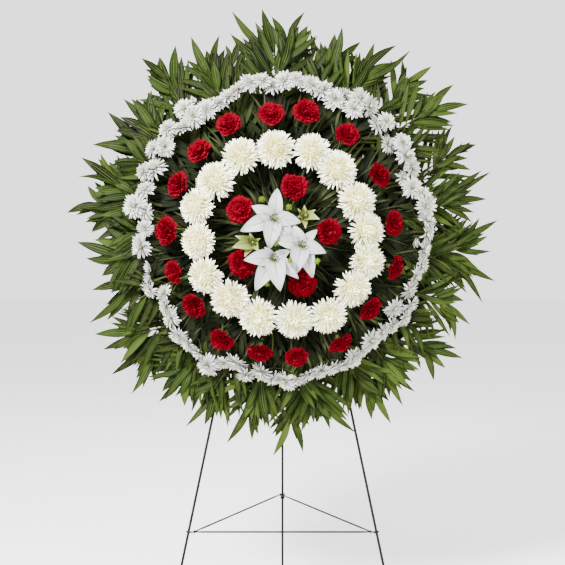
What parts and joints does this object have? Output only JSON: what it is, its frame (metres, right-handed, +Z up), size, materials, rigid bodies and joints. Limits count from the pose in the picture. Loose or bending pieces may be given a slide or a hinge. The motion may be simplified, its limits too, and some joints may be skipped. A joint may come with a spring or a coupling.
{
  "type": "funeral wreath on easel",
  "caption": "Standing funeral wreath of palm fronds, white, cream and red flower rings and central lilies on foam, held on a folding wire easel.",
  "frame": {"origin": "on the floor under the middle of the object's bounding box", "axes": "+Z up, the wreath's face looks along -Y, +X to the viewer's right"},
  "size_m": [1.1248, 0.529, 1.6135],
  "materials": {
    "easel_enamel": "dark green-black enamelled wire, satin",
    "pin_steel": "plain steel, slightly dull",
    "backing": "moulded green board, matt",
    "floral_foam": "fine-celled green foam, matt",
    "carnation_red": "soft ruffled petals, velvety",
    "mum_cream": "soft waxy petals",
    "spray_white": "soft petals",
    "palm_green": "glossy ribbed leaf",
    "dark_green": "glossy leaf in shade",
    "lily_white": "waxy petals with a pale green throat"
  },
  "bodies": {
    "frame": {"front_leg_left": "easel_enamel", "front_leg_right": "easel_enamel", "hinge_pin": "pin_steel", "front_brace_wire": "easel_enamel", "backing_board": "backing", "foam_disc": "floral_foam", "carnation_01": "carnation_red", "carnation_02": "carnation_red", "carnation_03": "carnation_red", "carnation_04": "carnation_red", "carnation_05": "carnation_red", "carnation_06": "carnation_red", "carnation_07": "carnation_red", "carnation_08": "carnation_red", "carnation_09": "carnation_red", "carnation_10": "carnation_red", "carnation_11": "carnation_red", "carnation_12": "carnation_red", "carnation_13": "carnation_red", "carnation_14": "carnation_red", "carnation_15": "carnation_red", "carnation_16": "carnation_red", "carnation_17": "carnation_red", "carnation_18": "carnation_red", "carnation_19": "carnation_red", "carnation_20": "carnation_red", "carnation_21": "carnation_red", "carnation_22": "carnation_red", "football_mum_01": "mum_cream", "football_mum_02": "mum_cream", "football_mum_03": "mum_cream", "football_mum_04": "mum_cream", "football_mum_05": "mum_cream", "football_mum_06": "mum_cream", "football_mum_07": "mum_cream", "football_mum_08": "mum_cream", "football_mum_09": "mum_cream", "football_mum_10": "mum_cream", "football_mum_11": "mum_cream", "football_mum_12": "mum_cream", "football_mum_13": "mum_cream", "football_mum_14": "mum_cream", "football_mum_15": "mum_cream", "football_mum_16": "mum_cream", "spray_mums_1": "spray_white", "spray_mums_2": "spray_white", "spray_mums_3": "spray_white", "spray_mums_4": "spray_white", "spray_mums_5": "spray_white", "spray_mums_6": "spray_white", "palm_fronds_1": "palm_green", "palm_fronds_2": "palm_green", "palm_fronds_3": "palm_green", "palm_fronds_4": "palm_green", "palm_fronds_5": "palm_green", "cover_greens": "dark_green", "lily_stem": "lily_white"},
    "rear_leg": {"back_leg": "easel_enamel"},
    "brace": {"side_brace_left": "easel_enamel", "side_brace_right": "easel_enamel"}
  },
  "joints": [
    {"name": "back_leg_fold", "type": "hinge", "parent": "frame", "child": "rear_leg", "pos_m": [0.00035, 0.02855, 1.38], "axis": [1, 0, 0], "range_deg": [-18, 0]},
    {"name": "brace_fold", "type": "hinge", "parent": "frame", "child": "brace", "pos_m": [0.00035, -0.16754, 0.26], "axis": [1, 0, 0], "range_deg": [0, 72]}
  ],
  "couplings": [
    {"joint": "brace_fold", "follows": "back_leg_fold", "ratio": -4}
  ]
}
